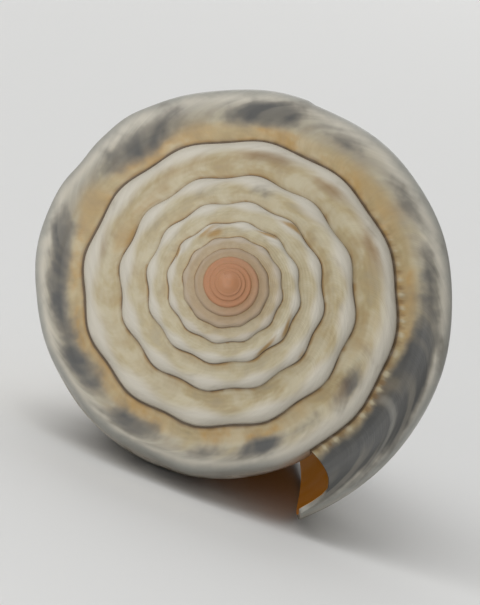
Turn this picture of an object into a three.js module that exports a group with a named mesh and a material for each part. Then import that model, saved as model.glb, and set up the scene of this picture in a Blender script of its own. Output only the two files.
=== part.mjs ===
// A cone shell, lying on its side with the aperture down. One piece: the whole shell grew as one coiled tube.
// Millimetres and degrees. In the shell's own frame the coiling axis is Z, with the apex at the origin and on top.
import * as THREE from "three";

const { degToRad, lerp, smoothstep } = THREE.MathUtils;

// Driving dimensions
const LENGTH = 31; // apex to anterior end, along the axis
const SUTURE_RADIUS = 8.15; // axis to the suture, at the lip
const GROWTH = 1.335; // size of each whorl against the one before it
const SPIRE_SLOPE = 0.43; // drop of the suture from the apex, for each unit of radius
const BASE_RADIUS = 2.8; // axis to the lip, at the anterior end
const WHORLS = 8.25; // turns from the first whorl to the lip
const LIP_BEARING = -62.7; // polar angle of the suture's end at the lip, seen from the apex

// The pose in which the shell comes to rest on its lip, its last whorl and its anterior end
const ROLL = 21.93; // turn about the coiling axis
const LEAN = 18.48; // rise of the coiling axis towards the apex
const CONTACT_FLAT = 0.15; // depth of the worn flats where the shell touches the surface

// Shoulder nodules
const NODULES_PER_TURN = 12;
const NODULE_AT_LIP = 19; // first nodule's place, in degrees before the lip
const LAST_NODULE_SHARE = 0.002; // of the radius, on the last whorl
const NODULE_SHARE = 0.02; // of the radius, on the middle whorls

// Uneven growth of the last whorl's edge, as shares of the radius
const FULL_STRETCH = 0.029;
const FULL_LUMP = 0.017;
const DENT = 0.018;
const LEAN_STRETCH = 0.027;
const LEAN_STRETCH_END = 0.011;

// The lip and the aperture
const LIP_NARROWING = 0.12; // share of its width that the last whorl loses at the lip
const LIP_NARROWING_DEG = 70;
const LIP_NOTCH_DEG = 3; // how far the lip is set back in its notch, beside the suture
const LIP_REACH_DEG = 9; // how far the lip runs forward at the shoulder
const LIP_RETREAT_DEG = 45; // how far it falls back again, from there to the anterior end
const LIP_BLEND_DEG = 90; // stretch over which the growth steps turn to follow the lip
const LIP_THICKNESS = 0.25;
const WALL_THICKNESS = 1.0;
const WALL_THICKENS_DEG = 60;
const APERTURE_DEPTH_DEG = 190;
const BASE_SLANT = 0.05; // share by which the anterior end shortens, a turn before the lip
const COLUMELLA_TAPER = 3.5; // how much faster than the shoulder the columella narrows, at the anterior end

// Mesh steps
const STEPS_PER_TURN = 72;
const RAMP_ROWS = [0, 0.22, 0.45, 0.66, 0.84, 1];
const SIDE_STEPS = 13;
const FIRST_SIDE_ROW = 0.07; // of the side's curve: the inside meets the whorl before at this depth
const APERTURE_STEPS = 14;

const EDGE_RADIUS = GROWTH * SUTURE_RADIUS;
const WHORL_WIDTH = EDGE_RADIUS - SUTURE_RADIUS;

// One whorl's outline from its suture to the next suture, in shares of the whorl's width and drop
const rampCurve = new THREE.CubicBezierCurve(
  new THREE.Vector2(0, 0),
  new THREE.Vector2(0.45, 0.1),
  new THREE.Vector2(1, 0.25),
  new THREE.Vector2(1, 1),
);
// The last whorl's side from the shoulder to the anterior end: radius in mm, depth as a share of the side
const sideCurve = new THREE.CubicBezierCurve(
  new THREE.Vector2(EDGE_RADIUS, 0),
  new THREE.Vector2(1.03 * EDGE_RADIUS, 0.2),
  new THREE.Vector2(0.56 * EDGE_RADIUS, 0.64),
  new THREE.Vector2(BASE_RADIUS, 1),
);

// An age is a growth angle in degrees before the lip.
const scaleAt = (age) => GROWTH ** (-age / 360);
const nearLip = (age, reach) => 1 - smoothstep(age, 0, reach);

function nodule(age) {
  const whorl = age / 360;
  const share = lerp(LAST_NODULE_SHARE, NODULE_SHARE, smoothstep(whorl, 0, 3));
  const fading = 1 - smoothstep(whorl, 5, 7.5);
  return share * fading * Math.cos(degToRad(age - NODULE_AT_LIP) * NODULES_PER_TURN);
}

// The last whorl's edge is fuller on its first-seen half, with a lump and a dent, and leaner after it
function uneven(age) {
  const full = smoothstep(age, 55, 100) * (1 - smoothstep(age, 209, 244));
  const lump = FULL_LUMP * Math.exp(-(((age - 182) / 7) ** 2));
  const dent = DENT * Math.exp(-(((age - 200) / 6) ** 2));
  const lean = smoothstep(age, 236, 270) * (1 - smoothstep(age, 338, 358));
  const leanShare = lerp(LEAN_STRETCH, LEAN_STRETCH_END, smoothstep(age, 308, 322));
  return FULL_STRETCH * full + lump - dent - leanShare * lean;
}

// Radius and height of the ramp, u from 0 at the suture to 1 at the next suture
function rampPoint(age, u) {
  const { x: across, y: drop } = rampCurve.getPoint(u);
  const width = WHORL_WIDTH * (1 - LIP_NARROWING * nearLip(age, LIP_NARROWING_DEG));
  const own = nodule(age) * smoothstep(u, 0.5, 0.9) + uneven(age) * smoothstep(u, 0.4, 0.9);
  const before = nodule(age + 360) * (1 - smoothstep(u, 0, 0.35));
  const radius = (SUTURE_RADIUS + width * across) * (1 + own + before);
  const height = -SPIRE_SLOPE * (SUTURE_RADIUS + WHORL_WIDTH * drop);
  return [radius * scaleAt(age), height * scaleAt(age)];
}

// Radius and height of the side, t from 0 at the shoulder to 1 at the anterior end
function sidePoint(age, t) {
  const { x: across, y: drop } = sideCurve.getPoint(t);
  const narrowing = (LIP_NARROWING * WHORL_WIDTH) / EDGE_RADIUS;
  const own = nodule(age) * (1 - smoothstep(t, 0, 0.15)) + uneven(age) * (1 - smoothstep(t, 0, 0.4));
  const size = scaleAt(age) ** (1 + COLUMELLA_TAPER * t ** 3);
  const radius = across * size * (1 - narrowing * nearLip(age, LIP_NARROWING_DEG)) * (1 + own);
  const top = -SPIRE_SLOPE * EDGE_RADIUS * scaleAt(age);
  const bottom = -LENGTH * (1 - (BASE_SLANT * age) / 360);
  return [radius, lerp(top, bottom, drop)];
}

// The whole outline: v from 0 to 1 along the ramp, then to 2 down the side
const outline = (age, v) => (v <= 1 ? rampPoint(age, v) : sidePoint(age, v - 1));

function lipShift(v) {
  const notch = LIP_NOTCH_DEG * Math.sin(Math.PI * Math.min(v / 0.62, 1));
  const forward = smoothstep(v, 0.6, 1);
  const retreat = Math.max((v - 1.15) / 0.85, 0) ** 2;
  return notch - LIP_REACH_DEG * forward + LIP_RETREAT_DEG * retreat;
}

function insidePoint(age, v, depthShare) {
  const step = 0.01;
  const [r, z] = outline(age, v);
  const [r0, z0] = outline(age, v - step);
  const [r1, z1] = outline(age, Math.min(v + step, 2));
  const across = new THREE.Vector2(z0 - z1, r1 - r0).normalize();
  const thickened = smoothstep(depthShare * APERTURE_DEPTH_DEG, 0, WALL_THICKENS_DEG);
  const thickness = lerp(LIP_THICKNESS, WALL_THICKNESS, thickened);
  return [r - across.x * thickness, z - across.y * thickness];
}

// How far the aperture runs back, in degrees: less at the anterior end, where the canal is short
const baseDepth = (APERTURE_STEPS * 360) / STEPS_PER_TURN;
const depthAt = (v) => lerp(APERTURE_DEPTH_DEG, baseDepth, smoothstep(v, 1.6, 2));

// Vertices and faces of the closed surface
const vertices = [];
const triangles = [];

function vertex(age, [radius, height]) {
  const bearing = degToRad(LIP_BEARING + age);
  vertices.push(new THREE.Vector3(radius * Math.cos(bearing), radius * Math.sin(bearing), height));
  return vertices.length - 1;
}

function sheet(column, next) {
  for (let i = 0; i + 1 < column.length; i += 1) {
    triangles.push([column[i], next[i], next[i + 1]], [column[i], next[i + 1], column[i + 1]]);
  }
}

const lastStep = Math.round(WHORLS * STEPS_PER_TURN);
const stepAge = (step) => ((lastStep - step) * 360) / STEPS_PER_TURN;
const rampEnd = RAMP_ROWS.length - 1;
const sideRows = Array.from({ length: SIDE_STEPS }, (_, k) =>
  lerp(1 + FIRST_SIDE_ROW, 2, k / (SIDE_STEPS - 1)),
);
const outerVertex = (age, v) => {
  const shifted = age + lipShift(v) * nearLip(age, LIP_BLEND_DEG);
  return vertex(shifted, outline(age, v));
};

// Ramps of the spire. A whorl's outer edge is the next whorl's suture.
const ramps = [];
for (let step = lastStep; step >= 0; step -= 1) {
  const age = stepAge(step);
  ramps[step] = RAMP_ROWS.slice(0, rampEnd).map((u) => outerVertex(age, u));
  const later = ramps[step + STEPS_PER_TURN];
  ramps[step].push(later ? later[0] : outerVertex(age, 1));
}
for (let step = 0; step < lastStep; step += 1) sheet(ramps[step], ramps[step + 1]);

// Side of the last whorl
const firstSide = lastStep - STEPS_PER_TURN;
const sides = [];
for (let step = firstSide; step <= lastStep; step += 1) {
  const rows = sideRows.map((v) => outerVertex(stepAge(step), v));
  sides[step] = [ramps[step][rampEnd], ...rows];
}
for (let step = firstSide; step < lastStep; step += 1) sheet(sides[step], sides[step + 1]);

// Inside of the aperture: the whorl before on one side, and the inner face of the outer wall on the other
const before = [sides[firstSide].slice(1)];
const inside = [];
for (let k = 0; k <= APERTURE_STEPS; k += 1) {
  const share = k / APERTURE_STEPS;
  if (k) {
    before[k] = sideRows.map((v) => {
      const age = 360 + share * depthAt(v);
      return vertex(age, sidePoint(age, v - 1));
    });
  }
  const rows = [...RAMP_ROWS.slice(1), ...sideRows].map((v) => {
    const age = lipShift(v) * (1 - share) ** 2 + share * depthAt(v);
    return vertex(age, insidePoint(Math.max(age, 0), v, share));
  });
  inside[k] = [before[k][0], ...rows];
}
sheet([...ramps[lastStep], ...sides[lastStep].slice(1)], inside[0]);
for (let k = 0; k < APERTURE_STEPS; k += 1) {
  sheet(inside[k], inside[k + 1]);
  sheet(before[k + 1], before[k]);
}
const innermost = inside[APERTURE_STEPS];
const innermostBefore = before[APERTURE_STEPS];
for (let i = 1; i <= rampEnd; i += 1) {
  triangles.push([innermost[i], innermostBefore[0], innermost[i + 1]]);
}
sheet(innermost.slice(rampEnd + 1), innermostBefore);

// Anterior end: the tip of the columella, and the end of the outer wall beside the open canal
const tip = vertex(0, [0, -LENGTH * (1 - 1.5 * BASE_SLANT)]);
const columellaEnd = [...before].reverse().map((rows) => rows.at(-1));
const wallEnd = sides.slice(firstSide).map((rows) => rows.at(-1));
const canalEnd = inside.map((rows) => rows.at(-1));
const solidWall = wallEnd.length - 1 - APERTURE_STEPS;
const round = [...columellaEnd, ...wallEnd.slice(1, solidWall)];
for (let i = 0; i + 1 < round.length; i += 1) triangles.push([round[i], round[i + 1], tip]);
const corner = [wallEnd[solidWall], canalEnd[APERTURE_STEPS], columellaEnd[0], tip];
for (let i = 0; i + 1 < corner.length; i += 1) {
  triangles.push([wallEnd[solidWall - 1], corner[i], corner[i + 1]]);
}
const openWall = wallEnd.slice(solidWall).reverse();
for (let k = 0; k < APERTURE_STEPS; k += 1) {
  triangles.push([openWall[k + 1], openWall[k], canalEnd[k]], [openWall[k + 1], canalEnd[k], canalEnd[k + 1]]);
}

// Apex: a small dome over the first whorl
const firstSuture = ramps.slice(0, STEPS_PER_TURN).map((rows) => rows[0]);
const pole = vertex(0, [0, 0.2 * vertices[firstSuture[0]].z]);
for (let i = 0; i + 1 < firstSuture.length; i += 1) {
  triangles.push([firstSuture[i + 1], firstSuture[i], pole]);
}
const start = [pole, ...ramps[0]];
for (let i = 0; i + 1 < start.length; i += 1) {
  triangles.push([firstSuture.at(-1), start[i], start[i + 1]]);
}

// Lay the shell down: turned about its axis, leaned over, and worn flat where it touches the surface
const lying = new THREE.Matrix4().makeRotationFromEuler(
  new THREE.Euler(degToRad(90 - LEAN), 0, degToRad(ROLL)),
);
for (const point of vertices) point.applyMatrix4(lying);
const box = new THREE.Box3().setFromPoints(vertices);
const middle = box.getCenter(new THREE.Vector3());
const floor = box.min.z + CONTACT_FLAT;
for (const point of vertices) {
  point.set(point.x - middle.x, point.y - middle.y, Math.max(point.z - floor, 0));
}

const geometry = new THREE.BufferGeometry().setFromPoints(vertices).setIndex(triangles.flat());
geometry.computeVertexNormals();
const porcelain = new THREE.MeshStandardMaterial({ color: 0xb9ae97, roughness: 0.42, metalness: 0 });
const shell = new THREE.Mesh(geometry, porcelain);
shell.name = "shell";

const coneShell = new THREE.Group();
coneShell.add(shell);

export default coneShell;
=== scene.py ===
"""A cone shell lying on its aperture, seen from its spire."""

import math

import bpy
import numpy as np
from mathutils import Matrix, Vector


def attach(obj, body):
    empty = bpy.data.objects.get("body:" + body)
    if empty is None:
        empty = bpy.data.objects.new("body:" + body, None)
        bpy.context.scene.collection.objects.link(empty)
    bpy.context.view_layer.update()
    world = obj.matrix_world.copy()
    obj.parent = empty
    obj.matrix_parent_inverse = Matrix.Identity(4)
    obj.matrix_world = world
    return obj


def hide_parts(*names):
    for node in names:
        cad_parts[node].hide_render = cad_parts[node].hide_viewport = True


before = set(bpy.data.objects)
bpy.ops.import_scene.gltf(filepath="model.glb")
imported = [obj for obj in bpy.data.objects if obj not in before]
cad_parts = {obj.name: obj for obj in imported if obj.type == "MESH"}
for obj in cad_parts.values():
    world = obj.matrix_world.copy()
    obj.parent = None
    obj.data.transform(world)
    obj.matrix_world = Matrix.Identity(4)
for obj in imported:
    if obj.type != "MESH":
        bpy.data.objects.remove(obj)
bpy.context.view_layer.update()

# Driving dimensions of the shell, in mm and degrees, as in the part's source
LENGTH = 31
SUTURE_RADIUS = 8.15
GROWTH = 1.335
SPIRE_SLOPE = 0.43
BASE_RADIUS = 2.8
LIP_BEARING = -62.7
ROLL = 21.93
LEAN = 18.48
CONTACT_FLAT = 0.15
NODULES_PER_TURN = 12
NODULE_AT_LIP = 19
LAST_NODULE_SHARE = 0.002
NODULE_SHARE = 0.02
NODULES_RISE = (0, 3)  # in whorls before the lip, as is the next one
NODULES_FADE = (5, 7.5)
FULL_STRETCH = 0.029
FULL_LUMP = 0.017
DENT = 0.018
LEAN_STRETCH = 0.027
LEAN_STRETCH_END = 0.011
FULL_FROM = (55, 100)  # in degrees before the lip, as are the next six
FULL_TO = (209, 244)
LUMP_PLACE = (182, 7)
DENT_PLACE = (200, 6)
LEAN_FROM = (236, 270)
LEAN_TO = (338, 358)
LEAN_EASES = (308, 322)
LIP_NARROWING = 0.12
LIP_NARROWING_DEG = 70
LIP_NOTCH_DEG = 1.6  # shallower than the 3 degrees of the part's source
LIP_REACH_DEG = 9
LIP_RETREAT_DEG = 45
LIP_BLEND_DEG = 90
LIP_THICKNESS = 0.25
WALL_THICKNESS = 1.0
WALL_THICKENS_DEG = 60
APERTURE_DEPTH_DEG = 190
BASE_SLANT = 0.05
COLUMELLA_TAPER = 3.5
EDGE_RADIUS = GROWTH * SUTURE_RADIUS
WHORL_WIDTH = EDGE_RADIUS - SUTURE_RADIUS
RAMP_CURVE = ((0, 0), (0.45, 0.1), (1, 0.25), (1, 1))
SIDE_CURVE = ((1, 0), (1.03, 0.2), (0.56, 0.64), (BASE_RADIUS / EDGE_RADIUS, 1))

# Fine relief: heights in mm on the last whorl, places as shares of the whorl or the side, ages in degrees
RIM_HEIGHT = 0.08
RIM_PLACE = (0.82, 0.2)
RIM_KNOBS = 0.9
DISH_DEPTH = 0.12
DISH_WIDTH = 0.72
BEAD_HEIGHT = 0.09
BEAD_PLACE = (0.10, 0.08)
BEAD_PITCH_DEG = 5.2
BEAD_WOBBLES = ((2.2, 5), (1.1, 13))  # shift of phase in radians, and waves in a turn
BEADS_WEAKEN = (45, 120)
BEADS_LOSE = 0.75
BEADS_END = (330, 420)
CORD_HEIGHT = 0.05
CORD_PITCH = 0.05
CORDS_FROM = (0.66, 0.85)
CORDS_TO = (0.97, 1)
SCAR_DEG = 130
SCAR_STEP_DEG = 0.8
SCAR_REGROWTH_DEG = 30
SCAR_SHARE = 0.008
DOME_RISE = 0.55
DOME_RINGS = (0.75, 0.5, 0.25)

# Steps of the fine mesh
WHORLS = 10.5
STEPS_PER_TURN = 360
APERTURE_STEPS = 70
RAMP_ROWS = np.array([0, 0.03, 0.07, 0.13, 0.2, 0.28, 0.37, 0.46, 0.55, 0.64, 0.73, 0.82, 0.91, 1])
SHOULDER_ROWS = np.array([0.018, 0.042])
SIDE_ROWS = np.concatenate([np.linspace(0.07, 0.69, 42), np.linspace(0.70, 1, 28)])
SHARP_EDGE_DEG = 55
MM = 0.001


def smooth(x, low, high):
    share = np.clip((x - low) / (high - low), 0, 1)
    return share * share * (3 - 2 * share)


def bump(x, middle, reach):
    return np.exp(-(((x - middle) / reach) ** 2))


def bezier(points, t):
    weights = ((1 - t) ** 3, 3 * (1 - t) ** 2 * t, 3 * (1 - t) * t**2, t**3)
    return [sum(weight * point[k] for weight, point in zip(weights, points)) for k in (0, 1)]


# An age is a growth angle in degrees before the lip.
def scale_at(age):
    return GROWTH ** (-age / 360)


def near_lip(age, reach):
    return 1 - smooth(age, 0, reach)


def nodule_wave(age):
    return np.cos(np.radians(age - NODULE_AT_LIP) * NODULES_PER_TURN)


def nodule(age):
    whorl = age / 360
    share = LAST_NODULE_SHARE + (NODULE_SHARE - LAST_NODULE_SHARE) * smooth(whorl, *NODULES_RISE)
    return share * (1 - smooth(whorl, *NODULES_FADE)) * nodule_wave(age)


def uneven(age):
    """The last whorl's edge: fuller on its newer part, with a lump, a dent and a scar, then leaner."""
    full = smooth(age, *FULL_FROM) * (1 - smooth(age, *FULL_TO))
    lump = FULL_LUMP * bump(age, *LUMP_PLACE)
    dent = DENT * bump(age, *DENT_PLACE)
    lean = smooth(age, *LEAN_FROM) * (1 - smooth(age, *LEAN_TO))
    lean_share = LEAN_STRETCH + (LEAN_STRETCH_END - LEAN_STRETCH) * smooth(age, *LEAN_EASES)
    after_scar = 1 - smooth(age, SCAR_DEG - SCAR_STEP_DEG, SCAR_DEG + SCAR_STEP_DEG)
    regrown = after_scar * (1 - smooth(SCAR_DEG - age, 0, SCAR_REGROWTH_DEG))
    return FULL_STRETCH * full + lump - dent - lean_share * lean - SCAR_SHARE * regrown


def bead_wave(age, across):
    """Small uneven beads along the last whorl's suture, plainest near the lip."""
    wobble = sum(shift * np.sin(np.radians(age * waves)) for shift, waves in BEAD_WOBBLES)
    phase = 2 * np.pi * age / BEAD_PITCH_DEG + wobble
    plainness = (1 - BEADS_LOSE * smooth(age, *BEADS_WEAKEN)) * (1 - smooth(age, *BEADS_END))
    return np.cos(phase) * bump(across, *BEAD_PLACE) * plainness


def ramp_point(age, u):
    """Radius and height of a whorl's top, u from 0 at its suture to 1 at the next suture."""
    across, drop = bezier(RAMP_CURVE, u)
    width = WHORL_WIDTH * (1 - LIP_NARROWING * near_lip(age, LIP_NARROWING_DEG))
    own = nodule(age) * smooth(u, 0.5, 0.9)
    before = nodule(age + 360) * (1 - smooth(u, 0, 0.35))
    own_edge = uneven(age) * smooth(u, 0.4, 0.9)
    radius = (SUTURE_RADIUS + width * across) * (1 + own + before + own_edge)
    knobbly = 1 + RIM_KNOBS * nodule_wave(age) * (1 - smooth(age / 360, *NODULES_FADE))
    rim = RIM_HEIGHT * bump(across, *RIM_PLACE) * knobbly
    dish = DISH_DEPTH * np.sin(np.pi * np.clip(across / DISH_WIDTH, 0, 1)) ** 2
    height = -SPIRE_SLOPE * (SUTURE_RADIUS + WHORL_WIDTH * drop) + rim - dish
    height = height + BEAD_HEIGHT * bead_wave(age, across)
    return radius * scale_at(age), height * scale_at(age)


def side_point(age, t):
    """Radius and height of the last whorl's side, t from 0 at the shoulder to 1 at the anterior end."""
    across, drop = bezier(SIDE_CURVE, t)
    narrowing = LIP_NARROWING * WHORL_WIDTH / EDGE_RADIUS
    own = nodule(age) * (1 - smooth(t, 0, 0.15)) + uneven(age) * (1 - smooth(t, 0, 0.4))
    size = scale_at(age) ** (1 + COLUMELLA_TAPER * t**3)
    radius = EDGE_RADIUS * across * size
    radius = radius * (1 - narrowing * near_lip(age, LIP_NARROWING_DEG)) * (1 + own)
    corded = smooth(t, *CORDS_FROM) * (1 - smooth(t, *CORDS_TO))
    cords = CORD_HEIGHT * np.cos(2 * np.pi * t / CORD_PITCH) * corded
    top = -SPIRE_SLOPE * EDGE_RADIUS * scale_at(age)
    bottom = -LENGTH * (1 - BASE_SLANT * age / 360)
    return radius + cords, top + (bottom - top) * drop


def outline(age, v):
    """The whole outline: v from 0 to 1 along the ramp, then to 2 down the side."""
    on_ramp = ramp_point(age, np.clip(v, 0, 1))
    on_side = side_point(age, np.clip(v - 1, 0, 1))
    return [np.where(v <= 1, a, b) for a, b in zip(on_ramp, on_side)]


def lip_shift(v):
    """How far the lip lies behind its age: a notch by the suture, a reach at the shoulder, then a retreat."""
    notch = LIP_NOTCH_DEG * np.sin(np.pi * np.minimum(v / 0.62, 1))
    forward = smooth(v, 0.6, 1)
    retreat = np.maximum((v - 1.15) / 0.85, 0) ** 2
    return notch - LIP_REACH_DEG * forward + LIP_RETREAT_DEG * retreat


def inside_point(age, v, depth_share):
    """The wall's inner face: the outline moved inwards by the wall's thickness."""
    step = 0.01
    radius, height = outline(age, v)
    r0, z0 = outline(age, v - step)
    r1, z1 = outline(age, np.minimum(v + step, 2))
    normal_r, normal_z = z0 - z1, r1 - r0
    length = np.hypot(normal_r, normal_z)
    thickened = smooth(depth_share * APERTURE_DEPTH_DEG, 0, WALL_THICKENS_DEG)
    thickness = LIP_THICKNESS + (WALL_THICKNESS - LIP_THICKNESS) * thickened
    return radius - normal_r / length * thickness, height - normal_z / length * thickness


def depth_at(v):
    """How far in the aperture runs, in degrees: less at the anterior end, where the canal is open."""
    base_depth = APERTURE_STEPS * 360 / STEPS_PER_TURN
    return APERTURE_DEPTH_DEG + (base_depth - APERTURE_DEPTH_DEG) * smooth(v, 1.6, 2)


def across_at(v):
    """Share of the whorl's width on the ramp, and 1 plus the curve's place down the side."""
    return np.where(v <= 1, bezier(RAMP_CURVE, np.clip(v, 0, 1))[0], v)


class Surface:
    """Points, and faces whose corners each carry an age, a place across the whorl and a share of inside."""

    def __init__(self):
        self.points = []
        self.faces = []
        self.corners = []

    def add(self, age, radius, height):
        age, radius, height = np.broadcast_arrays(age, radius, height)
        bearing = np.radians(LIP_BEARING + age)
        start = len(self.points)
        place = np.stack([radius * np.cos(bearing), radius * np.sin(bearing), height], axis=-1)
        self.points.extend(place.reshape(-1, 3))
        return np.arange(start, len(self.points)).reshape(age.shape)

    def face(self, ids, age, across, inside):
        self.faces.append([int(k) for k in ids])
        self.corners.extend([(age, across, inside)] * len(ids))

    def sheet(self, ids, age, v, inside):
        age, v, inside = np.broadcast_arrays(age, v, inside, np.zeros(ids.shape))[:3]
        fields = (age, across_at(v), inside)

        def ring(grid):
            return np.stack([grid[:-1, :-1], grid[1:, :-1], grid[1:, 1:], grid[:-1, 1:]], axis=-1)

        self.faces.extend(ring(ids).reshape(-1, 4).tolist())
        self.corners.extend(np.stack([ring(field).reshape(-1) for field in fields], axis=-1))


def grow():
    surface = Surface()
    turn = STEPS_PER_TURN
    last = round(WHORLS * turn)
    ages = (last - np.arange(last + 1)) * 360 / turn

    def outer(age, v):
        shifted = age + lip_shift(v) * near_lip(age, LIP_BLEND_DEG)
        return surface.add(shifted, *outline(age, v))

    # Ramps of the spire: a whorl's outer edge is the next whorl's suture
    ramp = np.empty((last + 1, len(RAMP_ROWS)), int)
    ramp[:, :-1] = outer(ages[:, None], RAMP_ROWS[None, :-1])
    ramp[:-turn, -1] = ramp[turn:, 0]
    ramp[-turn:, -1] = outer(ages[-turn:], np.ones(turn))
    surface.sheet(ramp, ages[:, None], RAMP_ROWS[None, :], 0)

    # Side of the last whorl
    rows = 1 + np.concatenate([SHOULDER_ROWS, SIDE_ROWS])
    side_ages = ages[-turn - 1 :, None]
    side = np.column_stack([ramp[-turn - 1 :, -1], outer(side_ages, rows[None, :])])
    side[0, 0] = ramp[-1, 0]
    surface.sheet(side, side_ages, np.concatenate([[1], rows])[None, :], 0)

    # Inside of the aperture: the whorl before on one side, the inner face of the outer wall on the other
    first = len(SHOULDER_ROWS) + 1
    share = np.linspace(0, 1, APERTURE_STEPS + 1)[:, None]
    side_v = 1 + SIDE_ROWS[None, :]
    before_age = 360 + share * depth_at(side_v)
    before = np.empty((APERTURE_STEPS + 1, len(SIDE_ROWS)), int)
    before[0] = side[0, first:]
    before[1:] = surface.add(before_age[1:], *side_point(before_age[1:], side_v - 1))
    inner_v = np.concatenate([RAMP_ROWS[1:], rows])[None, :]
    inner_age = lip_shift(inner_v) * (1 - share) ** 2 + share * depth_at(inner_v)
    walls = surface.add(inner_age, *inside_point(np.maximum(inner_age, 0), inner_v, share))
    inner = np.column_stack([before[:, 0], walls])
    lip_v = np.concatenate([[0], inner_v[0]])
    inner_ages = np.column_stack([before_age[:, 0] - 360, inner_age])
    surface.sheet(inner, inner_ages, lip_v[None, :], 1)
    surface.sheet(before[::-1], before_age[::-1], side_v, smooth(share[::-1], 0, 0.05))

    # Lip's edge
    lip = np.concatenate([ramp[-1], side[-1, 1:]])
    lip_edge = np.stack([lip, inner[0]])[:, 1:]
    surface.sheet(lip_edge, 0, lip_v[None, 1:], np.array([[0.0], [1.0]]))
    for k in range(first):
        surface.face((lip[1], side[0, k], side[0, k + 1]), age=0, across=0.0, inside=0.4)
    surface.face((lip[1], inner[0, 0], inner[0, 1]), age=0, across=0.0, inside=0.6)

    # Innermost wall of the aperture
    deep, deep_before = inner[-1], before[-1]
    ramp_end = len(RAMP_ROWS) - 1 + len(SHOULDER_ROWS)
    for k in range(1, ramp_end + 1):
        corner = (deep[k], deep_before[0], deep[k + 1])
        surface.face(corner, age=APERTURE_DEPTH_DEG, across=1.0, inside=1.0)
    surface.sheet(np.stack([deep[ramp_end + 1 :], deep_before]), APERTURE_DEPTH_DEG, side_v, 1)

    # Anterior end: the columella's tip, and the end of the outer wall beside the open canal
    tip = surface.add(0, 0, -LENGTH * (1 - 1.5 * BASE_SLANT)).item()
    columella = before[::-1, -1]
    wall = side[:, -1]
    canal = inner[:, -1]
    solid = turn - APERTURE_STEPS
    around = np.concatenate([columella, wall[1:solid]])
    for here, there in zip(around[:-1], around[1:]):
        surface.face((here, there, tip), age=200, across=2.0, inside=0.0)
    corner = (wall[solid], canal[-1], columella[0], tip)
    for here, there in zip(corner[:-1], corner[1:]):
        surface.face((wall[solid - 1], here, there), age=100, across=2.0, inside=0.3)
    surface.sheet(np.stack([wall[solid:][::-1], canal], axis=1), 20, 2.0, np.array([[0.0, 1.0]]))

    # Apex: a small dome over the first whorl
    first_suture = ramp[:turn, 0]
    apex_z = surface.points[first_suture[0]][2]
    dome_age = ages[:turn]
    reach = np.hypot(*np.array([surface.points[k] for k in first_suture])[:, :2].T)
    below = first_suture
    for part in DOME_RINGS:
        height = apex_z * (1 - DOME_RISE + DOME_RISE * part**2)
        ring = surface.add(dome_age, reach * part, height)
        for k in range(turn):
            after = (k + 1) % turn
            quad = (below[after], below[k], ring[k], ring[after])
            surface.face(quad, age=ages[0] + 300 * (1 - part), across=0.4, inside=0.0)
        below = ring
    pole = surface.add(0, 0, apex_z * (1 - DOME_RISE)).item()
    for k in range(turn):
        cap = (below[(k + 1) % turn], below[k], pole)
        surface.face(cap, age=ages[0] + 360, across=0.4, inside=0.0)
    for here, there in zip(ramp[0, :-1], ramp[0, 1:]):
        surface.face((first_suture[-1], here, there), age=ages[0], across=0.5, inside=0.0)
    return surface


# Markings seen in the photo: age and place across of a mark's middle, its reach both ways, and its strength
MARKS = {
    "slate": (
        (4, 0.52, 14, 0.36, 1.2),
        (20, 0.54, 12, 0.32, 1.1),
        (38, 0.52, 12, 0.34, 1.5),
        (54, 0.58, 12, 0.26, 0.9),
        (73, 0.64, 11, 0.20, 0.6),
        (96, 0.68, 12, 0.15, 0.4),
        (122, 0.64, 10, 0.18, 0.55),
        (148, 0.60, 13, 0.26, 0.95),
        (186, 0.52, 13, 0.30, 0.85),
        (204, 0.62, 8, 0.22, 0.45),
        (232, 0.56, 12, 0.28, 0.95),
        (251, 0.54, 9, 0.26, 0.75),
        (274, 0.50, 11, 0.28, 0.9),
        (302, 0.52, 10, 0.24, 0.85),
        (328, 0.60, 11, 0.18, 0.5),
        (350, 0.54, 11, 0.20, 0.8),
        (366, 0.50, 9, 0.18, 0.35),
        (390, 0.50, 8, 0.24, 0.8),
        (860, 0.50, 10, 0.20, 0.3),
        (894, 0.50, 10, 0.20, 0.3),
        (924, 0.50, 9, 0.20, 0.3),
    ),
    "tan": (
        (60, 0.22, 14, 0.16, 0.6),
        (105, 0.34, 26, 0.22, 0.7),
        (170, 0.34, 12, 0.24, 0.7),
        (212, 0.38, 11, 0.28, 1.0),
        (300, 0.30, 18, 0.18, 0.6),
        (410, 0.24, 14, 0.20, 0.6),
        (446, 0.62, 10, 0.18, 0.6),
        (476, 0.60, 12, 0.20, 0.7),
        (508, 0.60, 12, 0.20, 0.6),
        (534, 0.50, 14, 0.24, 0.7),
        (560, 0.26, 10, 0.20, 0.8),
        (580, 0.28, 10, 0.20, 0.8),
        (640, 0.40, 16, 0.22, 0.4),
        (846, 0.50, 10, 0.20, 0.4),
        (956, 0.50, 10, 0.20, 0.4),
        (1053, 0.20, 9, 0.16, 0.6),
        (1350, 0.45, 14, 0.26, 0.5),
    ),
    "brown": (
        (386, 0.42, 7, 0.26, 0.6),
        (446, 0.62, 9, 0.20, 0.75),
        (474, 0.60, 11, 0.20, 0.8),
        (504, 0.62, 11, 0.18, 0.85),
        (590, 0.60, 9, 0.16, 0.55),
    ),
    "ochre": (
        (560, 0.10, 8, 0.10, 0.7),
        (578, 0.08, 8, 0.10, 0.8),
        (1053, 0.06, 10, 0.09, 0.8),
        (1078, 0.05, 9, 0.09, 0.9),
        (1120, 0.95, 4, 0.08, 0.6),
        (1204, 0.90, 7, 0.18, 1.0),
        (1460, 0.88, 8, 0.20, 1.0),
        (1484, 0.90, 9, 0.18, 0.9),
        (1574, 0.90, 8, 0.18, 1.0),
        (1612, 0.42, 9, 0.26, 0.9),
        (1626, 0.72, 7, 0.24, 0.8),
        (1668, 0.93, 6, 0.12, 0.9),
    ),
}


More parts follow.
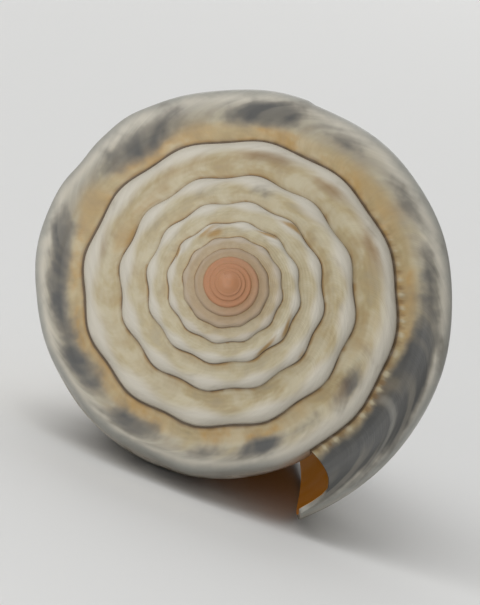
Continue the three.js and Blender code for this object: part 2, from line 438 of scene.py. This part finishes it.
GROWTH_LINE_SLANT = 1.6  # how much more the growth lines bend than the lip does
MARKS_LEAD_DEG = 6  # from a growth line's number to the ages in the list of markings


def marking(name, age, across):
    total = np.zeros(age.shape)
    for mark_age, mark_across, reach_age, reach_across, strength in MARKS[name]:
        total += strength * bump(age, mark_age, reach_age) * bump(across, mark_across, reach_across)
    return total


# Build the shell's mesh and lay it down as the CAD solid lies
surface = grow()
points = np.array(surface.points)
lying = Matrix.Rotation(math.radians(90 - LEAN), 3, "X") @ Matrix.Rotation(math.radians(ROLL), 3, "Z")
points = points @ np.array(lying).T
low, high = points.min(axis=0), points.max(axis=0)
offset = np.array([(low[0] + high[0]) / 2, (low[1] + high[1]) / 2, low[2] + CONTACT_FLAT])
points = points - offset
points[:, 2] = np.maximum(points[:, 2], 0)

mesh = bpy.data.meshes.new("shell_skin")
mesh.from_pydata((points * MM).tolist(), [], surface.faces)
mesh.polygons.foreach_set("use_smooth", [True] * len(mesh.polygons))
age, across, inside = np.array(surface.corners, dtype=np.float64).T
line = age - lip_shift(across) * GROWTH_LINE_SLANT
fields = {"growth": age, "across": across, "inside": inside, "line": line}
fields["beads"] = bead_wave(age, across)
fields.update({name: marking(name, line + MARKS_LEAD_DEG, across) for name in MARKS})
for name, values in fields.items():
    layer = mesh.attributes.new(name, "FLOAT", "CORNER")
    layer.data.foreach_set("value", values.astype(np.float32))
mesh.validate()
mesh.set_sharp_from_angle(angle=math.radians(SHARP_EDGE_DEG))
shell = bpy.data.objects.new("shell_skin", mesh)
bpy.context.scene.collection.objects.link(shell)
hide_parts("shell")
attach(shell, "root")


# Material
OLD_LIP_AGE = 25.0  # where a pale line shows that growth stopped for a while
LIP_GLOW = 0.12  # painted glow standing in for light that comes through the thin lip, as a share of its colour
PALE_BAND = 0.47  # how far down the side the band without flames lies
DASH_ROWS = 24
SPIRAL_THREADS = 7
RELIEF_STRENGTH = 0.35
RELIEF_MM = 0.06


def tint(red, green, blue):
    """A colour as seen on screen, 0 to 255, as the linear value a shader takes."""

    def linear(level):
        share = level / 255
        return share / 12.92 if share <= 0.04045 else ((share + 0.055) / 1.055) ** 2.4

    return (linear(red), linear(green), linear(blue), 1.0)


CREAM = tint(170, 153, 114)
IVORY = tint(188, 178, 150)
STONE = tint(150, 140, 118)
WHITE = tint(200, 194, 180)
PALE_GREY = tint(148, 146, 138)
SLATE = tint(70, 71, 71)
SMOKE = tint(118, 112, 101)
TAN = tint(170, 144, 98)
GOLD = tint(178, 142, 80)
OCHRE = tint(160, 124, 62)
BROWN = tint(120, 90, 50)
SUTURE = tint(74, 57, 34)
ROSE = tint(162, 135, 104)
SALMON = tint(178, 122, 84)
AMBER = tint(214, 136, 8)
SHADE_UMBER = tint(150, 90, 6)
PORCELAIN = tint(200, 193, 180)
MIST = tint(146, 147, 142)
OLIVE = tint(96, 80, 50)


class Nodes:
    """Short ways to add and join shader nodes."""

    def __init__(self, material):
        material.use_nodes = True
        self.tree = material.node_tree

    def new(self, kind, **settings):
        node = self.tree.nodes.new(kind)
        for name, value in settings.items():
            setattr(node, name, value)
        return node

    def put(self, socket, value):
        if isinstance(value, bpy.types.NodeSocket):
            self.tree.links.new(value, socket)
        else:
            socket.default_value = value

    def attribute(self, name):
        return self.new("ShaderNodeAttribute", attribute_name=name).outputs["Fac"]

    def math(self, operation, first, second=0.0, clamp=False):
        node = self.new("ShaderNodeMath", operation=operation, use_clamp=clamp)
        self.put(node.inputs[0], first)
        self.put(node.inputs[1], second)
        return node.outputs[0]

    def add(self, *terms):
        total = terms[0]
        for term in terms[1:]:
            total = self.math("ADD", total, term)
        return total

    def times(self, *factors):
        total = factors[0]
        for factor in factors[1:]:
            total = self.math("MULTIPLY", total, factor)
        return total

    def fade(self, value, low, high, start=0.0, end=1.0):
        node = self.new("ShaderNodeMapRange", interpolation_type="SMOOTHSTEP")
        for socket, entry in zip(node.inputs[:5], (value, low, high, start, end)):
            self.put(socket, entry)
        return node.outputs[0]

    def mix(self, factor, first, second):
        node = self.new("ShaderNodeMix", data_type="RGBA")
        self.put(node.inputs[0], factor)
        self.put(node.inputs[6], first)
        self.put(node.inputs[7], second)
        return node.outputs[2]

    def vector(self, x, y, z=0.0):
        node = self.new("ShaderNodeCombineXYZ")
        for socket, entry in zip(node.inputs, (x, y, z)):
            self.put(socket, entry)
        return node.outputs[0]

    def noise(self, vector, scale=1.0, detail=3.0, roughness=0.55):
        node = self.new("ShaderNodeTexNoise")
        self.put(node.inputs["Vector"], vector)
        self.put(node.inputs["Scale"], scale)
        self.put(node.inputs["Detail"], detail)
        self.put(node.inputs["Roughness"], roughness)
        return node.outputs["Fac"]

    def around(self, noise, amount):
        """Noise moved to lie about zero."""
        return self.times(self.math("SUBTRACT", noise, 0.5), amount)


class ShellFields:
    """Where a point lies on the shell, and the noises that its colours share."""

    def __init__(self, n):
        self.growth = n.attribute("growth")
        self.across = n.attribute("across")
        self.inside = n.attribute("inside")
        self.line = n.attribute("line")
        self.on_spire = n.fade(self.across, 1.02, 1.0)

        # Clouds and grain lie anyhow
        place = n.new("ShaderNodeTexCoord").outputs["Object"]
        self.clouds = n.noise(place, scale=620.0, detail=3.0)
        self.grain = n.noise(place, scale=5000.0, detail=2.0)

        # The others are drawn out along the growth lines, from the finest to the broadest
        def along_growth(per_degree, per_width, seed, **settings):
            stretched = n.vector(n.times(self.line, per_degree), n.times(self.across, per_width), seed)
            return n.noise(stretched, **settings)

        self.fine_lines = along_growth(1.4, 1.6, 7.0, detail=2.0)
        self.streaks = along_growth(0.14, 1.6, 0.0, detail=2.0, roughness=0.5)
        self.bars = along_growth(0.13, 1.0, 11.0, detail=1.0)
        self.flames = along_growth(0.09, 3.0, 2.0, detail=4.0)
        self.patches = along_growth(0.05, 1.5, 4.0, detail=3.0, roughness=0.6)
        self.ragged = n.add(n.around(self.clouds, 1.1), n.around(self.streaks, 0.4))
        self.slate = n.add(n.attribute("slate"), self.ragged)


def spire_ground(n, f):
    """Cream ramps with white knobbly rims, and grey on the last whorl's outer part, its outer edge partly its
    own grey and partly painted shade.
    """
    from_nodule = n.math("SUBTRACT", f.growth, float(NODULE_AT_LIP))
    wave = n.math("COSINE", n.times(from_nodule, math.radians(NODULES_PER_TURN)))
    knobs = n.times(wave, n.fade(f.growth, 300.0, 800.0), n.fade(f.growth, 2500.0, 1900.0), 0.09)
    rim = n.fade(n.add(f.across, n.around(f.clouds, 0.24), knobs), 0.48, 0.86)
    ramp = n.mix(n.fade(f.patches, 0.38, 0.6), CREAM, IVORY)
    ramp = n.mix(n.fade(f.patches, 0.46, 0.28, 0.0, 0.55), ramp, STONE)
    ramp = n.mix(n.fade(f.growth, 650.0, 1150.0, 0.0, 0.5), ramp, IVORY)
    colour = n.mix(rim, ramp, WHITE)
    middle = n.times(n.fade(f.across, 0.25, 0.5), n.fade(f.across, 0.9, 0.7))
    greyed = n.times(n.fade(f.growth, 372.0, 330.0), middle, n.fade(f.streaks, 0.2, 0.7, 0.1, 0.7))
    colour = n.mix(greyed, colour, PALE_GREY)
    # Grey towards the last whorl's outer edge: partly the shell's own grey, partly painted shade where the
    # shoulder turns away from the light
    edge_grey_and_shade = n.fade(n.add(f.across, n.around(f.clouds, 0.2)), 0.8, 1.0, 0.0, 0.8)
    return n.mix(n.times(n.fade(f.growth, 372.0, 340.0), edge_grey_and_shade), colour, MIST)


def spire_washes(n, f, colour):
    """Tan beside the sutures and along the growth lines, and gold on the last whorl."""
    suture_wash = n.times(n.fade(f.across, 0.46, 0.02), n.fade(f.clouds, 0.36, 0.66), 0.5)
    colour = n.mix(suture_wash, colour, TAN)
    streaked = n.times(n.fade(f.streaks, 0.4, 0.7), n.fade(f.across, 0.8, 0.5))
    colour = n.mix(n.times(streaked, n.fade(f.growth, 900.0, 400.0, 0.1, 0.35)), colour, TAN)
    mottled = n.times(n.fade(f.patches, 0.42, 0.6, 0.1, 0.85), n.fade(f.clouds, 0.36, 0.58, 0.3, 1.0))
    gilded = n.times(n.fade(f.growth, 372.0, 352.0), n.fade(f.across, 0.5, 0.26), mottled)
    return n.mix(gilded, colour, GOLD)


def spire_markings(n, f, colour):
    """The single marks seen in the photo, a pale line where growth once stopped, and the pink apex."""
    tan = n.fade(n.add(n.attribute("tan"), f.ragged), 0.15, 0.95, 0.0, 0.75)
    colour = n.mix(tan, colour, TAN)
    colour = n.mix(n.fade(f.slate, 0.08, 0.6, 0.0, 0.65), colour, SMOKE)
    slate = n.times(n.fade(f.slate, 0.25, 0.85), n.fade(f.bars, 0.38, 0.58, 0.6, 0.97))
    colour = n.mix(slate, colour, SLATE)
    old_lip = n.fade(n.math("ABSOLUTE", n.math("SUBTRACT", f.line, OLD_LIP_AGE)), 2.4, 0.3)
    colour = n.mix(n.times(old_lip, n.fade(f.across, 0.1, 0.3), 0.4), colour, PALE_GREY)
    brown = n.fade(n.add(n.attribute("brown"), n.times(f.ragged, 0.5)), 0.1, 1.0, 0.0, 0.7)
    colour = n.mix(brown, colour, BROWN)
    ochre = n.fade(n.add(n.attribute("ochre"), n.times(f.ragged, 0.6)), 0.15, 0.9, 0.0, 0.85)
    colour = n.mix(ochre, colour, OCHRE)
    colour = n.mix(n.fade(f.growth, 1550.0, 2250.0, 0.0, 0.8), colour, ROSE)
    salmon = n.fade(n.add(f.growth, n.around(f.clouds, 300.0)), 2380.0, 2750.0, 0.0, 0.92)
    return n.mix(salmon, colour, SALMON)


def sutures(n, f, colour):
    """A dark line with painted shadow under the rim above it, bordered with brown that is partly stain and
    partly painted shade, ochre here and there, and beads with brown gaps on the last one.
    """
    stained = n.fade(n.add(f.clouds, n.around(f.streaks, 0.8)), 0.46, 0.62)
    border = n.fade(n.add(f.across, n.around(f.clouds, 0.10)), 0.13, 0.02)
    colour = n.mix(n.times(border, stained, 0.75), colour, OCHRE)
    bead = n.attribute("beads")
    tops = n.times(n.fade(bead, 0.1, 0.8), n.fade(f.growth, 150.0, 40.0, 0.25, 0.8))
    colour = n.mix(tops, colour, IVORY)
    gaps = n.times(n.fade(bead, -0.1, -0.8), n.fade(f.clouds, 0.4, 0.62, 0.2, 0.75))
    colour = n.mix(gaps, colour, BROWN)
    faint_at_apex = n.fade(f.growth, 2500.0, 1700.0, 0.2, 1.0)
    on_last = n.fade(f.growth, 380.0, 345.0)
    patchy = n.math("MAXIMUM", n.fade(f.clouds, 0.36, 0.62, 0.25, 0.9), n.times(on_last, 0.85))
    # Brown beside the suture: partly real stain, partly painted shade where the surface dips into the suture
    suture_stain_and_shade = n.fade(n.add(f.across, n.around(f.clouds, 0.16), n.around(f.bars, 0.06)), 0.12, 0.015)
    colour = n.mix(n.times(suture_stain_and_shade, faint_at_apex, patchy, 0.85), colour, BROWN)
    not_last_edge = n.fade(f.growth, 350.0, 362.0)
    # Painted shadow on the underside of the rim above the suture; below it is the suture's own dark line, and
    # both are painted SUTURE
    rim_underside_shadow = n.times(n.fade(f.across, 0.98, 0.999), not_last_edge, f.on_spire, 0.7)
    below = n.fade(n.add(f.across, n.around(f.clouds, 0.06), n.times(on_last, -0.02)), 0.045, 0.008)
    suture_line_and_shadow = n.times(n.math("MAXIMUM", rim_underside_shadow, below), faint_at_apex)
    return n.mix(n.times(suture_line_and_shadow, patchy), colour, SUTURE)


def side_colour(n, f):
    """Side of the last whorl: pale ground with olive flames in two bands, and rows of small dashes."""
    down = n.math("SUBTRACT", f.across, 1.0)
    ground = n.mix(n.fade(f.clouds, 0.35, 0.65, 0.0, 0.55), PORCELAIN, MIST)
    off_band = n.fade(n.math("ABSOLUTE", n.math("SUBTRACT", down, PALE_BAND)), 0.03, 0.1)
    blotch = n.fade(n.add(f.flames, n.around(f.clouds, 0.3)), 0.47, 0.6)
    side = n.mix(n.times(blotch, off_band, n.fade(down, 0.02, 0.16), 0.85), ground, OLIVE)
    rows = n.math("COSINE", n.times(down, 2 * math.pi * DASH_ROWS))
    breaks = n.noise(n.vector(n.times(f.line, 0.28), n.times(down, float(DASH_ROWS)), 5.0), detail=1.0)
    dashes = n.times(n.fade(rows, 0.55, 0.9), n.fade(breaks, 0.5, 0.6), 0.7)
    side = n.mix(dashes, side, BROWN)
    return n.mix(n.fade(f.slate, 0.3, 0.8, 0.0, 0.8), side, SLATE)


def lip_stain_and_shade(n, f):
    """Amber inner face of the lip, darkened to umber a little farther in as painted shade, then paler farther
    in.
    """
    # The umber a little farther in is painted shade of the recess; the amber and the pale colour deeper in
    # are the shell's own
    stain_and_shade = n.mix(n.fade(n.add(f.growth, n.around(f.clouds, 8.0)), 14.0, 50.0), AMBER, SHADE_UMBER)
    return n.mix(n.fade(f.growth, 40.0, 110.0), stain_and_shade, PORCELAIN)


def fine_relief(n, f):
    """Relief too fine for the mesh: growth lines, spiral threads and grain."""
    turns = n.times(f.across, 2 * math.pi * SPIRAL_THREADS)
    threads = n.times(n.math("COSINE", turns), f.on_spire, 0.10)
    relief = n.add(n.times(f.fine_lines, 0.5), threads, n.times(f.grain, 0.2))
    lifted = n.new("ShaderNodeBump")
    lifted.inputs["Strength"].default_value = RELIEF_STRENGTH
    lifted.inputs["Distance"].default_value = RELIEF_MM * MM
    n.put(lifted.inputs["Height"], relief)
    return lifted.outputs["Normal"]


def shell_material():
    material = bpy.data.materials.new("shell")
    n = Nodes(material)
    f = ShellFields(n)
    spire = spire_washes(n, f, spire_ground(n, f))
    spire = sutures(n, f, spire_markings(n, f, spire))
    colour = n.mix(n.fade(f.across, 1.0, 1.1), spire, side_colour(n, f))
    # Painted shade: smoke darkening along the growth lines, standing in for the shade of their relief
    growth_line_shade = n.add(n.around(f.fine_lines, 0.5), n.around(f.streaks, 0.9), 0.5)
    colour = n.mix(n.fade(growth_line_shade, 0.2, 0.8, 0.0, 0.14), colour, SMOKE)
    stain_and_shade = lip_stain_and_shade(n, f)
    lined = n.fade(f.inside, 0.93, 1.0)
    # Painted glow: the lip's inner face gives off light of its own colour, as if lit through the thin lip
    lip_painted_glow = n.times(lined, n.fade(f.growth, 45.0, 8.0), LIP_GLOW)

    shader = n.tree.nodes["Principled BSDF"]
    n.put(shader.inputs["Base Color"], n.mix(lined, colour, stain_and_shade))
    n.put(shader.inputs["Roughness"], n.fade(f.clouds, 0.2, 0.8, 0.36, 0.5))
    n.put(shader.inputs["Normal"], fine_relief(n, f))
    shader.inputs["Specular IOR Level"].default_value = 0.4
    n.put(shader.inputs["Emission Color"], stain_and_shade)
    n.put(shader.inputs["Emission Strength"], lip_painted_glow)
    return material


mesh.materials.append(shell_material())

# Camera: looks at the spire from a little off the coiling axis, as the photo does
VIEW_TILT = 10.6
MM_PER_PIXEL = 0.0458
PHOTO_HEIGHT = 605
APEX_LEFT_OF_MIDDLE = 11
APEX_ABOVE_MIDDLE = 20.5
CAMERA_DISTANCE = 350
SENSOR_WIDTH = 36
tilt = math.radians(VIEW_TILT)
toward = lying @ Vector((0, -math.sin(tilt), math.cos(tilt)))
rightward = lying @ Vector((1, 0, 0))
upward = toward.cross(rightward)
apex = Vector(-offset)
aim = apex + (rightward * APEX_LEFT_OF_MIDDLE - upward * APEX_ABOVE_MIDDLE) * MM_PER_PIXEL

camera_data = bpy.data.cameras.new("camera")
camera_data.sensor_width = SENSOR_WIDTH
camera_data.lens = SENSOR_WIDTH * CAMERA_DISTANCE / (PHOTO_HEIGHT * MM_PER_PIXEL)
camera_data.clip_start = 0.01
camera_data.clip_end = 20
camera = bpy.data.objects.new("camera", camera_data)
pose = Matrix((rightward, upward, toward)).transposed().to_4x4()
pose.translation = (aim + toward * CAMERA_DISTANCE) * MM
camera.matrix_world = pose
bpy.context.scene.collection.objects.link(camera)
bpy.context.scene.camera = camera


# Floor that sweeps up into a backdrop, in m
SWEEP_FRONT = -3.0
SWEEP_BACK = 0.5
SWEEP_RADIUS = 0.3
SWEEP_TOP = 2.0
SWEEP_HALF_WIDTH = 3.0
SWEEP_STEPS = 24


def sweep():
    profile = [(SWEEP_FRONT, 0.0), (SWEEP_BACK, 0.0)]
    for turned in np.radians(np.linspace(0, 90, SWEEP_STEPS))[1:]:
        back = SWEEP_BACK + SWEEP_RADIUS * math.sin(turned)
        profile.append((back, SWEEP_RADIUS * (1 - math.cos(turned))))
    profile.append((SWEEP_BACK + SWEEP_RADIUS, SWEEP_TOP))
    vertices = [(x, y, z) for y, z in profile for x in (-SWEEP_HALF_WIDTH, SWEEP_HALF_WIDTH)]
    faces = [(2 * k, 2 * k + 1, 2 * k + 3, 2 * k + 2) for k in range(len(profile) - 1)]
    data = bpy.data.meshes.new("backdrop")
    data.from_pydata(vertices, [], faces)
    data.polygons.foreach_set("use_smooth", [True] * len(data.polygons))
    paint = bpy.data.materials.new("backdrop")
    paint.use_nodes = True
    shader = paint.node_tree.nodes["Principled BSDF"]
    shader.inputs["Base Color"].default_value = (0.8, 0.8, 0.79, 1)
    shader.inputs["Roughness"].default_value = 0.9
    data.materials.append(paint)
    backdrop = bpy.data.objects.new("backdrop", data)
    bpy.context.scene.collection.objects.link(backdrop)


sweep()


# Soft studio light, most of it from the top of the picture
def soft_light(name, direction, distance, size, watts):
    data = bpy.data.lights.new(name, "AREA")
    data.shape = "DISK"
    data.size = size
    data.energy = watts
    lamp = bpy.data.objects.new(name, data)
    direction = direction.normalized()
    lamp.location = aim * MM + direction * distance
    lamp.rotation_mode = "QUATERNION"
    lamp.rotation_quaternion = direction.to_track_quat("Z", "Y")
    bpy.context.scene.collection.objects.link(lamp)


above_left = upward * 1.0 + toward * 0.75 - rightward * 0.25
from_behind = upward * 0.9 - toward * 1.0 + rightward * 0.3
by_camera = toward * 1.0 - rightward * 0.25 + upward * 0.05
soft_light("key", above_left, distance=0.5, size=0.5, watts=1.3)
soft_light("back", from_behind, distance=0.5, size=0.5, watts=0.9)
soft_light("fill", by_camera, distance=0.6, size=0.4, watts=1.1)
world = bpy.data.worlds.new("studio")
world.use_nodes = True
world.node_tree.nodes["Background"].inputs["Color"].default_value = (1, 1, 1, 1)
world.node_tree.nodes["Background"].inputs["Strength"].default_value = 0.33
bpy.context.scene.world = world
bpy.context.scene.view_settings.view_transform = "Standard"
